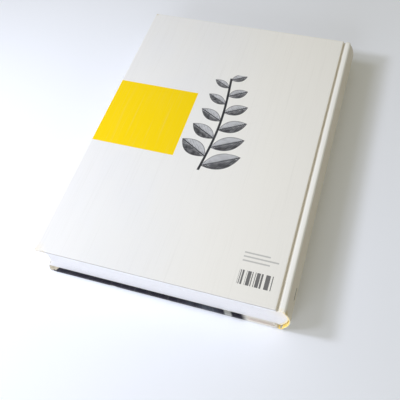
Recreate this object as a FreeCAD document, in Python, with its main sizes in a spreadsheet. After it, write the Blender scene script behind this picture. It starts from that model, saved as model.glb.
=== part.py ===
"""A case-bound book lying face down: a block of leaves in a hard case with a rounded, grooved spine.

Every piece is drawn as a section across the book and drawn out along Y, the way of the spine, from
the tail (-Y) to the head (+Y). In a section X runs from the cover's fore-edge, at 0, to the spine.
The pieces of a cover are drawn from its outer face inwards, as in the front cover, which is
underneath; the back cover has the same pieces turned over. The pieces of the block and the spine are
drawn about the plane half-way up the book. The Placements then put the fore-edge and the spine
equally far from the origin, with the book standing on Z = 0.
"""

import FreeCAD, Part
import os
import Sketcher

App = FreeCAD

# Driving dimensions, in millimetres.
SIZES = {
    # The leaves
    "leaf_height": 297.0,  # head to tail
    "leaf_width": 202.0,  # outermost leaf, from its fore-edge to the shoulder
    "pages_thick": 27.4,  # all the leaves together
    "backed_thick": 31.0,  # the same across the shoulders, where they are flared
    "round_depth": 6.2,  # how far the rounded back swells past the shoulders
    "fore_edge_depth": 4.5,  # how far the rounding hollows the fore-edge
    "endpaper_thick": 0.15,
    # The case
    "overhang": 3.0,  # how far the boards stand past the leaves on three sides
    "board_thick": 2.5,
    "covering_thick": 0.25,
    "turn_in": 15.0,  # covering folded over the inside, seen from the edge
    "edge_round": 0.4,  # covering where it folds over a board's edge
    "corner_round": 1.2,  # a board's corner, seen from above
    "joint_width": 3.6,  # from a board to the shoulder
    "joint_clearance": 0.05,  # between a board's covered edge and the cloth in the joint
    "fold_clearance": 0.15,  # between a board's covered edge and the covering in the joint
    # The spine
    "lining_thick": 0.5,  # cloth and paper glued to the back of the leaves
    "cloth_thick": 0.25,  # the cloth alone, over the shoulders
    "hollow": 0.5,  # air between the lining and the strip
    "strip_thick": 0.8,  # card in the spine of the case
    "ridge_rise": 0.35,  # how far the strip's edges stand past the cloth on the shoulders
    "ridge_round": 0.8,  # covering over the strip's edges
    # The cloth glued down inside each board
    "flap_width": 25.0,
    "flap_thick": 0.2,
    # The bands sewn at the head and the tail of the back
    "bead_width": 1.7,
    "bead_rise": 0.7,
    "band_tape": 0.4,
    "band_width": 29.0,  # edge to edge, across the back
    # The front cover's worn corner, bare of covering
    "bare_tail": 9.0,  # along the tail
    "bare_fore": 5.0,  # along the fore-edge
}

# Places that follow from the driving dimensions. Across the book they run from the fore-edge.
LAYOUT = {
    "height": "Sizes.leaf_height + 2 * Sizes.overhang",
    "board_height": "height - 2 * Sizes.covering_thick",
    "window_height": "height - 2 * Sizes.turn_in",
    "step_height": "window_height - 2 * Sizes.endpaper_thick",
    "shoulder": "Sizes.overhang + Sizes.leaf_width",
    "hinge_line": "shoulder - Sizes.joint_width / 2",
    "board_end": "shoulder - Sizes.joint_width",
    "board_back": "board_end + Sizes.covering_thick",
    "window_end": "board_back + Sizes.covering_thick",
    "flap_start": "board_end - Sizes.flap_width",
    "step_start": "Sizes.turn_in + Sizes.endpaper_thick",
    "flare_start": "board_back + Sizes.joint_clearance",
    "groove_start": "board_back + Sizes.fold_clearance",
    # A cover's layers, from its outer face inwards
    "board_inner": "Sizes.covering_thick + Sizes.board_thick",
    "flap_outer": "board_inner - Sizes.flap_thick",
    "window_face": "board_inner + Sizes.endpaper_thick",
    "turn_face": "board_inner + Sizes.covering_thick",
    "cover_thick": "turn_face + Sizes.endpaper_thick",
    "page_face": "cover_thick + Sizes.endpaper_thick",
    "total_thick": "2 * page_face + Sizes.pages_thick",
    "middle": "total_thick / 2",
    # Half heights, from the middle outwards
    "half_pages": "Sizes.pages_thick / 2",
    "half_backed": "Sizes.backed_thick / 2",
    "slope": "(half_backed - half_pages) / (shoulder - flare_start)",
    "slant": "sqrt(1 + slope ^ 2)",
    "fly_flare": "half_pages + Sizes.endpaper_thick * slant",
    "fly_shoulder": "half_backed + Sizes.endpaper_thick * slant",
    "cloth_flare": "fly_flare + Sizes.cloth_thick * slant",
    "cloth_shoulder": "fly_shoulder + Sizes.cloth_thick * slant",
    "groove_inner": "cloth_flare + slope * (groove_start - flare_start)",
    "groove_outer": "groove_inner + Sizes.covering_thick * slant",
    "ridge_foot": "cloth_shoulder + Sizes.covering_thick * slant",
    "strip_half": "cloth_shoulder + Sizes.ridge_rise",
    "ridge_top": "strip_half + Sizes.covering_thick",
    # The flyleaf's fold, from the cover's outer face
    "fly_bend": "flare_start - Sizes.endpaper_thick * (slant - 1) / slope",
    "fly_edge": "middle - fly_shoulder",
    "leaf_edge": "middle - half_backed",
    # The rounded back and what lies round it, all about one line
    "spine_top": "shoulder + Sizes.round_depth",
    "spine_radius": "(half_backed ^ 2 + Sizes.round_depth ^ 2) / (2 * Sizes.round_depth)",
    "spine_centre": "spine_top - spine_radius",
    "lining_radius": "spine_radius + Sizes.lining_thick",
    "lining_top": "spine_centre + lining_radius",
    "lining_corner": "spine_centre + sqrt(lining_radius ^ 2 - cloth_shoulder ^ 2)",
    "strip_radius": "lining_radius + Sizes.hollow",
    "strip_top": "spine_centre + strip_radius",
    "strip_corner": "spine_centre + sqrt(strip_radius ^ 2 - strip_half ^ 2)",
    "strip_shoulder": "spine_centre + sqrt(strip_radius ^ 2 - cloth_shoulder ^ 2)",
    "strip_outer_radius": "strip_radius + Sizes.strip_thick",
    "strip_outer_top": "spine_centre + strip_outer_radius",
    "strip_outer_corner": "spine_centre + sqrt(strip_outer_radius ^ 2 - strip_half ^ 2)",
    "fold_radius": "strip_radius - Sizes.covering_thick",
    "fold_top": "spine_centre + fold_radius",
    "fold_corner": "spine_centre + sqrt(fold_radius ^ 2 - cloth_shoulder ^ 2)",
    "case_radius": "strip_outer_radius + Sizes.covering_thick",
    "total_width": "spine_centre + case_radius",
    "ridge_corner": "spine_centre + sqrt(case_radius ^ 2 - ridge_top ^ 2)",
    # The hollowed fore-edge
    "hollow_top": "Sizes.overhang + Sizes.fore_edge_depth",
    "hollow_radius": "(half_pages ^ 2 + Sizes.fore_edge_depth ^ 2) / (2 * Sizes.fore_edge_depth)",
    "hollow_centre": "hollow_top - hollow_radius",
    # A band, from the line that the back is rounded about and from the middle of the book's height
    "leaf_head": "Sizes.leaf_height / 2",
    "band_foot": "window_height / 2",
    "band_outer": "spine_radius + Sizes.band_tape",
    "bead_inner": "band_outer - Sizes.bead_width",
    "bead_top": "leaf_head + Sizes.bead_rise",
    "bead_radius": "(Sizes.bead_width ^ 2 / 4 + Sizes.bead_rise ^ 2) / (2 * Sizes.bead_rise)",
    "bead_centre": "bead_top - bead_radius",
    # The triangle that bares the worn corner
    "bare_left": "-Sizes.bare_tail",
    "bare_right": "2 * Sizes.bare_tail",
    "bare_head": "2 * Sizes.bare_fore - height / 2",
    "bare_foot": "-Sizes.bare_fore - height / 2",
}

EDGE = "edge"  # a coordinate on the sketch's own axis
CLOSE = 1e-5  # two lengths nearer than this are one


def make_sheet():
    """The driving dimensions."""
    sheet = DOC.addObject("Spreadsheet::Sheet", "Sizes")
    for row, (name, number) in enumerate(SIZES.items(), start=1):
        sheet.set(f"A{row}", name)
        sheet.set(f"B{row}", str(number))
        sheet.setAlias(f"B{row}", name)
    DOC.recompute()
    return sheet


def make_layout():
    """The places that follow from them."""
    layout = DOC.addObject("App::VarSet", "Layout")
    for name, rule in LAYOUT.items():
        layout.addProperty("App::PropertyFloat", name)
        layout.setExpression(name, rule)
    DOC.recompute()
    return layout


def link(name):
    """The expression that reads a named length, with its sign."""
    sign = "-" if name.startswith("-") else ""
    plain = name.lstrip("-")
    home = "Sizes" if plain in SIZES else "Layout"
    return f"{sign}{home}.{plain}"


def length(name):
    """The same length as a number."""
    if name == EDGE:
        return 0.0
    plain = name.lstrip("-")
    home = SHEET if plain in SIZES else PLACES
    number = float(getattr(home, plain))
    return -number if name.startswith("-") else number


def flip(name):
    """The same length on the other side."""
    return name[1:] if name.startswith("-") else "-" + name


def mirrored(corners):
    """An outline's lower corners, then the same corners above the middle, in turn."""
    return corners + [(x, flip(z)) for x, z in reversed(corners)]


def pin(sketch, element, end, kind, name):
    """Ties one coordinate of a point to a named length, or sets it on the axis."""
    if name == EDGE:
        axis = -2 if kind == "DistanceX" else -1
        sketch.addConstraint(Sketcher.Constraint("PointOnObject", element, end, axis))
        return
    rule = Sketcher.Constraint(kind, -1, 1, element, end, length(name))
    index = sketch.addConstraint(rule)
    sketch.setExpression(f"Constraints[{index}]", link(name))


def draw(sketch, corners, arcs=None):
    """Draws a closed outline, with each corner tied to two named lengths.

    arcs names, for the side that starts at a corner, the way that it bulges, how far it reaches that
    way, and where its centre is.
    """
    arcs = arcs or {}
    points = [App.Vector(length(x), length(z), 0) for x, z in corners]
    ends = []
    for side, start in enumerate(points):
        stop = points[(side + 1) % len(points)]
        if side in arcs:
            way, reach, centre = arcs[side]
            top = (start + stop) / 2
            if way == "DistanceX":
                top.x = length(reach)
            else:
                top.y = length(reach)
            # A sketch keeps its arcs counter-clockwise, so one that runs the other way is drawn back
            forward = (top - start).cross(stop - top).z > 0
            curve = Part.Arc(start, top, stop) if forward else Part.Arc(stop, top, start)
            element = sketch.addGeometry(curve)
            pin(sketch, element, 3, way, centre)
            ends.append((1, 2) if forward else (2, 1))
        else:
            sketch.addGeometry(Part.LineSegment(start, stop))
            ends.append((1, 2))
    for side, (x, z) in enumerate(corners):
        after = (side + 1) % len(points)
        sketch.addConstraint(Sketcher.Constraint("Coincident", side, ends[side][1], after, ends[after][0]))
        pin(sketch, side, ends[side][0], "DistanceX", x)
        pin(sketch, side, ends[side][0], "DistanceY", z)


def new_sketch(body, name, role="XZ_Plane"):
    """An empty sketch on one of the body's own planes."""
    sketch = body.newObject("Sketcher::SketchObject", name)
    plane = next(item for item in body.Origin.OriginFeatures if item.Role == role)
    sketch.AttachmentSupport = [(plane, "")]
    sketch.MapMode = "FlatFace"
    return sketch


def draw_out(body, kind, name, along, corners, arcs=None):
    """Adds (Pad) or takes away (Pocket) a section over a named length along the spine."""
    sketch = new_sketch(body, f"{name}_section")
    draw(sketch, corners, arcs)
    before = 0.0 if kind == "Pad" else body.Tip.Shape.Volume
    feature = body.newObject(f"PartDesign::{kind}", name)
    feature.Profile = sketch
    feature.SideType = "Symmetric"
    feature.setExpression("Length", link(along))
    DOC.recompute()
    if kind == "Pocket" and not feature.Shape.Volume < before:
        raise RuntimeError(f"{name} takes nothing away")
    return feature


def box_corners(left, right, outer, inner):
    """The corners of a rectangle in a section."""
    return [(left, outer), (right, outer), (right, inner), (left, inner)]


def round_edges(body, name, radius, chosen):
    """Rounds the edges for which chosen is true."""
    base = body.Tip
    edges = [f"Edge{n}" for n, edge in enumerate(base.Shape.Edges, start=1) if chosen(edge.BoundBox)]
    fillet = body.newObject("PartDesign::Fillet", name)
    fillet.Base = (base, edges)
    fillet.setExpression("Radius", radius)
    DOC.recompute()


def is_corner(box):
    """An upright edge at the fore-edge's two corners."""
    return box.ZLength > CLOSE and box.XMax < length("covering_thick") + CLOSE


def new_body(label, rise=None, turned=False):
    """A piece, shifted so that the book is centred, and set up at a named height."""
    body = DOC.addObject("PartDesign::Body", label)
    body.Label = label
    if turned:
        body.Placement = App.Placement(App.Vector(), App.Rotation(App.Vector(1, 0, 0), 180))
    body.setExpression("Placement.Base.x", "-Layout.total_width / 2")
    if rise:
        body.setExpression("Placement.Base.z", link(rise))
    NODES.append(body)
    return body


def cover_body(side, what):
    """A piece of one of the covers."""
    turned = side == "back"
    return new_body(f"{side}_{what}", "total_thick" if turned else None, turned)


def make_text_block():
    """All the leaves as one solid, rounded at the back, hollowed at the fore-edge and flared."""
    body = new_body("text_block", "middle")
    lower = [("overhang", "-half_pages"), ("flare_start", "-half_pages"), ("shoulder", "-half_backed")]
    arcs = {
        2: ("DistanceX", "spine_top", "spine_centre"),
        5: ("DistanceX", "hollow_top", "hollow_centre"),
    }
    draw_out(body, "Pad", "leaves", "leaf_height", mirrored(lower), arcs)


def make_flyleaf(side):
    """The free half of an endpaper, flat on the leaves and bent with them over the shoulder."""
    body = cover_body(side, "flyleaf")
    outline = [
        ("overhang", "cover_thick"),
        ("fly_bend", "cover_thick"),
        ("shoulder", "fly_edge"),
        ("shoulder", "leaf_edge"),
        ("flare_start", "page_face"),
        ("overhang", "page_face"),
    ]
    draw_out(body, "Pad", f"{side}_sheet", "leaf_height", outline)


def make_spine_lining():
    """Cloth and paper on the back of the leaves, and the cloth alone over the shoulders."""
    body = new_body("spine_lining", "middle")
    outer = [
        ("flare_start", "-cloth_flare"),
        ("shoulder", "-cloth_shoulder"),
        ("lining_corner", "-cloth_shoulder"),
    ]
    inner = [("flare_start", "fly_flare"), ("shoulder", "fly_shoulder"), ("shoulder", "half_backed")]
    arcs = {
        2: ("DistanceX", "lining_top", "spine_centre"),
        8: ("DistanceX", "spine_top", "spine_centre"),
    }
    draw_out(body, "Pad", "lining", "window_height", mirrored(outer) + mirrored(inner), arcs)


def make_band(end):
    """A sewn bead on the end of the back, held by its tape, which is glued to the leaves."""
    body = DOC.addObject("PartDesign::Body", f"{end}_band")
    body.Label = f"{end}_band"
    if end == "tail":
        body.Placement = App.Placement(App.Vector(), App.Rotation(App.Vector(1, 0, 0), 180))
    body.setExpression("Placement.Base.x", "Layout.spine_centre - Layout.total_width / 2")
    body.setExpression("Placement.Base.z", link("middle"))
    NODES.append(body)
    sketch = new_sketch(body, f"{end}_band_section", "XY_Plane")
    outline = [
        ("spine_radius", "band_foot"),
        ("band_outer", "band_foot"),
        ("band_outer", "leaf_head"),
        ("bead_inner", "leaf_head"),
        ("spine_radius", "leaf_head"),
    ]
    draw(sketch, outline, {2: ("DistanceY", "bead_top", "bead_centre")})
    turn = body.newObject("PartDesign::Revolution", f"{end}_bead")
    turn.Profile = sketch
    turn.ReferenceAxis = (sketch, ["V_Axis"])
    turn.Midplane = True
    turn.setExpression("Angle", "2 * asin(Sizes.band_width / 2 / Layout.spine_radius)")
    DOC.recompute()


def strip_outline():
    """The section of the card strip in the spine, and its arcs."""
    lower = [("strip_corner", "-strip_half"), ("strip_outer_corner", "-strip_half")]
    arcs = {
        1: ("DistanceX", "strip_outer_top", "spine_centre"),
        3: ("DistanceX", "strip_top", "spine_centre"),
    }
    return mirrored(lower), arcs


def make_spine_strip():
    """The card that stiffens the spine of the case."""
    body = new_body("spine_inlay", "middle")
    corners, arcs = strip_outline()
    draw_out(body, "Pad", "strip", "board_height", corners, arcs)


def make_spine_covering():
    """The covering over the spine, down into both joints and folded in at the head and the tail."""
    body = new_body("spine_covering", "middle")
    outer = [
        ("groove_start", "-groove_outer"),
        ("shoulder", "-ridge_foot"),
        ("strip_corner", "-ridge_top"),
        ("ridge_corner", "-ridge_top"),
    ]
    inner = [
        ("groove_start", "groove_inner"),
        ("shoulder", "cloth_shoulder"),
        ("fold_corner", "cloth_shoulder"),
    ]
    arcs = {
        3: ("DistanceX", "total_width", "spine_centre"),
        10: ("DistanceX", "fold_top", "spine_centre"),
    }
    draw_out(body, "Pad", "case_spine", "height", mirrored(outer) + mirrored(inner), arcs)

    def is_ridge(box):
        at_corner = abs(box.Center.x - length("ridge_corner")) < CLOSE
        return at_corner and box.YLength > CLOSE and box.ZLength < CLOSE

    round_edges(body, "ridges", "Sizes.ridge_round", is_ridge)
    corners, strip_arcs = strip_outline()
    draw_out(body, "Pocket", "strip_room", "board_height", corners, strip_arcs)
    inside = mirrored([("shoulder", "-cloth_shoulder"), ("strip_shoulder", "-cloth_shoulder")])
    inside_arc = {1: ("DistanceX", "strip_top", "spine_centre")}
    draw_out(body, "Pocket", "between_folds", "window_height", inside, inside_arc)


def make_board(side):
    """A grey board, with a shallow seat for the cloth glued to its inside."""
    body = cover_body(side, "board")
    plate = box_corners("covering_thick", "board_end", "covering_thick", "board_inner")
    draw_out(body, "Pad", f"{side}_plate", "board_height", plate)
    round_edges(body, f"{side}_board_corners", "Sizes.corner_round - Sizes.covering_thick", is_corner)
    seat = box_corners("flap_start", "board_end", "flap_outer", "board_inner")
    draw_out(body, "Pocket", f"{side}_flap_seat", "window_height", seat)


def make_covering(side):
    """The covering round one board, turned in on three sides and down the board's edge in the joint."""
    body = cover_body(side, "covering")
    wrap = box_corners(EDGE, "board_back", EDGE, "turn_face")
    draw_out(body, "Pad", f"{side}_wrap", "height", wrap)
    round_edges(body, f"{side}_wrap_corners", "Sizes.corner_round", is_corner)

    def is_rim(box):
        on_face = box.ZLength < CLOSE and (box.ZMax < CLOSE or box.ZMin > length("turn_face") - CLOSE)
        return on_face and box.XMin < length("board_back") - CLOSE

    round_edges(body, f"{side}_wrap_rim", "Sizes.edge_round", is_rim)
    room = box_corners("covering_thick", "board_end", "covering_thick", "board_inner")
    draw_out(body, "Pocket", f"{side}_board_room", "board_height", room)
    window = box_corners("turn_in", "window_end", "board_inner", "turn_face")
    draw_out(body, "Pocket", f"{side}_window", "window_height", window)
    return body


def bare_corner(body):
    """Takes the covering off the worn corner, at the tail of the fore-edge."""
    sketch = new_sketch(body, "bare_corner_outline", "XY_Plane")
    draw(sketch, [("bare_left", "bare_head"), ("bare_left", "bare_foot"), ("bare_right", "bare_foot")])
    before = body.Tip.Shape.Volume
    pocket = body.newObject("PartDesign::Pocket", "bare_corner")
    pocket.Profile = sketch
    pocket.Type = "ThroughAll"
    pocket.SideType = "Symmetric"
    DOC.recompute()
    if not pocket.Shape.Volume < before:
        raise RuntimeError("the worn corner keeps its covering")


def make_pastedown(side):
    """The glued half of an endpaper: on the board inside the turn-ins, and stepped up over them."""
    body = cover_body(side, "pastedown")
    centre = box_corners("turn_in", "board_end", "board_inner", "cover_thick")
    draw_out(body, "Pad", f"{side}_centre", "window_height", centre)
    rim = box_corners("overhang", "board_end", "turn_face", "cover_thick")
    draw_out(body, "Pad", f"{side}_rim", "leaf_height", rim)
    hollow = box_corners("step_start", "window_end", "window_face", "cover_thick")
    draw_out(body, "Pocket", f"{side}_sunk", "step_height", hollow)


def make_crash_flap(side):
    """The cloth that ties the block to one board, glued under the pastedown."""
    body = cover_body(side, "crash_flap")
    strip = box_corners("flap_start", "board_end", "flap_outer", "board_inner")
    draw_out(body, "Pad", f"{side}_cloth", "window_height", strip)


def check_document():
    """Stops at any object that failed and any piece without a sound solid."""
    for item in DOC.Objects:
        if "Invalid" in item.State or "Error" in item.State:
            raise RuntimeError(f"{item.Name} failed: {item.State}")
    for body in NODES:
        shape = body.Shape
        if shape.isNull() or not shape.isValid() or len(shape.Solids) != 1:
            raise RuntimeError(f"{body.Label} is not one sound solid")


DOC = FreeCAD.newDocument("Book")
SHEET = make_sheet()
PLACES = make_layout()
NODES = []

make_text_block()
make_spine_lining()
for book_end in ("head", "tail"):
    make_band(book_end)
make_spine_strip()
make_spine_covering()
for cover in ("front", "back"):
    make_flyleaf(cover)
    make_board(cover)
    covered = make_covering(cover)
    if cover == "front":
        bare_corner(covered)
    make_pastedown(cover)
    make_crash_flap(cover)

DOC.recompute()
check_document()
os.makedirs("parts", exist_ok=True)
for node in NODES:
    node.Shape.exportStep(f"parts/{node.Label}.step")
    box = node.Shape.BoundBox
    print(f"{node.Label:16s} x {box.XMin:8.2f} {box.XMax:8.2f}  y {box.YMin:8.2f} {box.YMax:8.2f}"
          f"  z {box.ZMin:6.2f} {box.ZMax:6.2f}  volume {node.Shape.Volume / 1000:8.2f} cm3")
print("hinge lines at x", round(length("hinge_line") - length("total_width") / 2, 3),
      "z 0 and", round(length("total_thick"), 3))
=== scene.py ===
"""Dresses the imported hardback, which lies closed on its front cover, and sets it on a pale studio floor."""
import logging
import math
from collections.abc import Callable, Sequence
from dataclasses import dataclass
from enum import Enum

import bmesh
import bpy
from mathutils import Matrix, Vector, noise


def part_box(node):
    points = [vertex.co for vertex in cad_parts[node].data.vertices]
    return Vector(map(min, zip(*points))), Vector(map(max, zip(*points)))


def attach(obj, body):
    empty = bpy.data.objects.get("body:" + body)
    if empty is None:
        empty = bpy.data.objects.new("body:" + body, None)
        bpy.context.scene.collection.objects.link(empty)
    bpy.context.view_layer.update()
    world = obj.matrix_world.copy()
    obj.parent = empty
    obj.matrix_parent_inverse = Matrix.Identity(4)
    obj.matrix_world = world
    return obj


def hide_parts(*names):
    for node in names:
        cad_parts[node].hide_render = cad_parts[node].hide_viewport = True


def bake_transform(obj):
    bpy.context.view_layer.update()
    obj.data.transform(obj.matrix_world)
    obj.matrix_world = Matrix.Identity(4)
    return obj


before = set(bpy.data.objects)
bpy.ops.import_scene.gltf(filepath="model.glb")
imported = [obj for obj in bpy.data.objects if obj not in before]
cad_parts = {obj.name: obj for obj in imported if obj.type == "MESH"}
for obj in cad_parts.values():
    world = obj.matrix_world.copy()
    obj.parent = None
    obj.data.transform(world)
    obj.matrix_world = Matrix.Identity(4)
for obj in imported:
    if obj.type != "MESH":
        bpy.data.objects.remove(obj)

REPORT = logging.getLogger("hardback")
MM = 0.001
HALF_WIDTH = -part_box("back_covering")[0].x / MM
HALF_HEIGHT = -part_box("back_covering")[0].y / MM
HEIGHT = 2 * HALF_HEIGHT
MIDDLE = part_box("back_covering")[1].z / MM / 2
BOARD_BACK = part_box("back_covering")[1].x / MM + HALF_WIDTH
COVER = MIDDLE * 2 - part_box("back_covering")[0].z / MM
BACK_CENTRE = 188.725
LEAF_INSET = 3.0
SHEET_THICK = 0.23
THREAD_PITCH = 0.95

Point = tuple[float, float, float]
Colour = tuple[float, float, float]
Shape = Callable[[float, float, float], Point]
Socket = bpy.types.NodeSocket


class Side(Enum):
    """The two covers, as the book lies: the back one faces up."""

    BACK = 1
    FRONT = -1

    @property
    def word(self) -> str:
        """The side's name in plain letters."""
        return self.name.lower()

    @property
    def body(self) -> str:
        """The moving body that carries this cover."""
        return f"{self.word}_cover"

    def level(self, half: float) -> float:
        """The height of a place that is this far from mid-height."""
        return MIDDLE + self.value * half


class End(Enum):
    """The two ends of the book along its spine."""

    TAIL = 0
    HEAD = 1

    @property
    def word(self) -> str:
        """The end's name in plain letters."""
        return self.name.lower()

    def place(self, inward: float) -> float:
        """The measure along the book of a place this far in from the end."""
        return inward if self is End.TAIL else HEIGHT - inward


class Field(Enum):
    """The printed parts of the covering."""

    BACK = "back"
    SPINE = "spine"
    JOINT = "joint"
    FRONT = "front"


class Source(Enum):
    """Where a finish takes its measures from."""

    SHEET = "sheet"
    SOLID = "solid"


def steps(length: float, fine: float, growth: float, coarse: float) -> list[float]:
    """Places along an edge, close together at both ends and wider between them.

    Args:
        length: The whole length.
        fine: The first gap at each end.
        growth: How much wider each gap is than the last.
        coarse: The widest gap.

    Returns:
        The places, from 0 to the length.
    """
    half = [0.0]
    gap = fine
    while half[-1] + gap < length / 2 - gap / 2:
        half.append(half[-1] + gap)
        gap = min(coarse, gap * growth)
    return half + [length - place for place in reversed(half)]


def ease(value: float, start: float, end: float) -> float:
    """A smooth rise from 0 at start to 1 at end."""
    share = min(1.0, max(0.0, (value - start) / (end - start)))
    return share * share * (3 - 2 * share)


def grain(across: float, along: float, size: float, seed: float = 0.0) -> float:
    """Smooth unevenness from -1 to 1 with bumps about as wide as size."""
    return noise.noise(Vector((across / size, along / size, seed)))


def fade(distance: float, reach: float, power: float = 2) -> float:
    """A fall from 1 at no distance to 0 at the reach, the steeper the higher the power."""
    return max(0.0, 1 - distance / reach) ** power


def dent(across: float, along: float, middle: float, half: float, deep: float, power: int = 2) -> float:
    """A dent in the tail edge: 1 in its middle, and less to both sides and inwards."""
    return math.exp(-((across - middle) / half) ** power) * math.exp(-max(along, 0.0) / deep)


class Patch:
    """Gathers the points and faces of one piece, in mm across, along and up."""

    def __init__(self) -> None:
        """Starts with nothing laid down."""
        self.points: list[Point] = []
        self.sheet: list[tuple[float, float]] = []
        self.faces: list[tuple[int, ...]] = []

    def point(self, place: Point, sheet: tuple[float, float]) -> int:
        """Lays down one point.

        Args:
            place: Measures across from the fore-edge, along from the tail and up, in mm.
            sheet: The same place on the flat sheet, in mm.

        Returns:
            The point's number.
        """
        self.points.append(place)
        self.sheet.append(sheet)
        return len(self.points) - 1

    def strip(self, first: Sequence[int], second: Sequence[int], closed: bool = False) -> None:
        """Joins two rows of points by faces.

        Args:
            first: One row of point numbers.
            second: The next row, of the same length.
            closed: Whether the rows run round to their start.
        """
        count = len(first)
        for index in range(count if closed else count - 1):
            after = (index + 1) % count
            self.faces.append((first[index], first[after], second[after], second[index]))

    def web(self, rows: Sequence[Sequence[int]], closed: bool = False) -> None:
        """Joins each row of points to the next one."""
        for first, second in zip(rows, rows[1:]):
            self.strip(first, second, closed)

    def tear(self, gone: Callable[[float, float], bool]) -> None:
        """Takes out the faces whose middle on the flat sheet is torn away."""
        kept = []
        for face in self.faces:
            across = sum(self.sheet[index][0] for index in face) / len(face)
            along = sum(self.sheet[index][1] for index in face) / len(face)
            if not gone(across, along):
                kept.append(face)
        self.faces = kept

    def piece(self, name: str, finish: bpy.types.Material, thick: float = 0.0,
              crease: float = 40.0, inside: Point | None = None) -> bpy.types.Object:
        """Makes the piece.

        Args:
            name: The piece's name.
            finish: Its material.
            thick: The sheet's thickness in mm, laid inwards, or 0 for a closed solid.
            crease: Edges sharper than this many degrees stay crisp.
            inside: A place that the outer faces of an open sheet look away from.

        Returns:
            The new piece.
        """
        mesh = bpy.data.meshes.new(name)
        mesh.from_pydata([set_down(place) for place in self.points], [], self.faces)
        layer = mesh.uv_layers.new(name="sheet")
        flat: list[float] = []
        for loop in mesh.loops:
            across, along = self.sheet[loop.vertex_index]
            flat.extend((across * MM, along * MM))
        layer.uv.foreach_set("vector", flat)
        mesh.materials.append(finish)
        clean(mesh, inside)
        piece = bpy.data.objects.new(name, mesh)
        bpy.context.scene.collection.objects.link(piece)
        if thick:
            thicken(piece, thick)
        piece.data.shade_smooth()
        piece.data.set_sharp_from_angle(angle=math.radians(crease))
        return piece


def set_down(place: Point) -> Vector:
    """A place in mm from the fore-edge, tail and floor, as a place in the shared frame."""
    return Vector(((place[0] - HALF_WIDTH) * MM, (place[1] - HALF_HEIGHT) * MM, place[2] * MM))


def clean(mesh: bpy.types.Mesh, inside: Point | None) -> None:
    """Drops loose points and turns the faces outwards.

    Args:
        mesh: The mesh to clean.
        inside: A place behind an open sheet, or None where the mesh is closed.
    """
    work = bmesh.new()
    work.from_mesh(mesh)
    loose = [corner for corner in work.verts if not corner.link_faces]
    bmesh.ops.delete(work, geom=loose, context="VERTS")
    if inside is None:
        bmesh.ops.recalc_face_normals(work, faces=work.faces)
    else:
        behind = set_down(inside)
        facing = 0.0
        for face in work.faces:
            facing += face.calc_area() * face.normal.dot(face.calc_center_median() - behind)
        if facing < 0:
            bmesh.ops.reverse_faces(work, faces=work.faces)
    work.to_mesh(mesh)
    work.free()


def thicken(piece: bpy.types.Object, thick: float) -> None:
    """Gives an open sheet its thickness, laid inwards, and keeps the result as its mesh."""
    solid = piece.modifiers.new("thickness", "SOLIDIFY")
    solid.thickness = thick * MM
    solid.offset = -1.0
    solid.use_even_offset = False
    graph = bpy.context.evaluated_depsgraph_get()
    flat = piece.data
    piece.data = bpy.data.meshes.new_from_object(piece.evaluated_get(graph), depsgraph=graph)
    piece.modifiers.clear()
    piece.data.name = piece.name
    bpy.data.meshes.remove(flat)


def fit(piece: bpy.types.Object, body: str, slot: str, *nodes: str) -> bpy.types.Object:
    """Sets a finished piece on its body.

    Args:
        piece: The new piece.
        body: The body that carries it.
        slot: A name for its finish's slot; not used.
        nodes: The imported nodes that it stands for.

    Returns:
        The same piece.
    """
    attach(piece, body)
    if nodes:
        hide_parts(*nodes)
    REPORT.info("%s: %d faces on %s", piece.name, len(piece.data.polygons), body)
    return piece


def dress(node: str, finish: bpy.types.Material) -> None:
    """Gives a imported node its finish."""
    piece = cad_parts[node]
    for held in piece.material_slots:
        held.material = finish
    REPORT.info("%s: packed solid, dressed", node)


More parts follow.
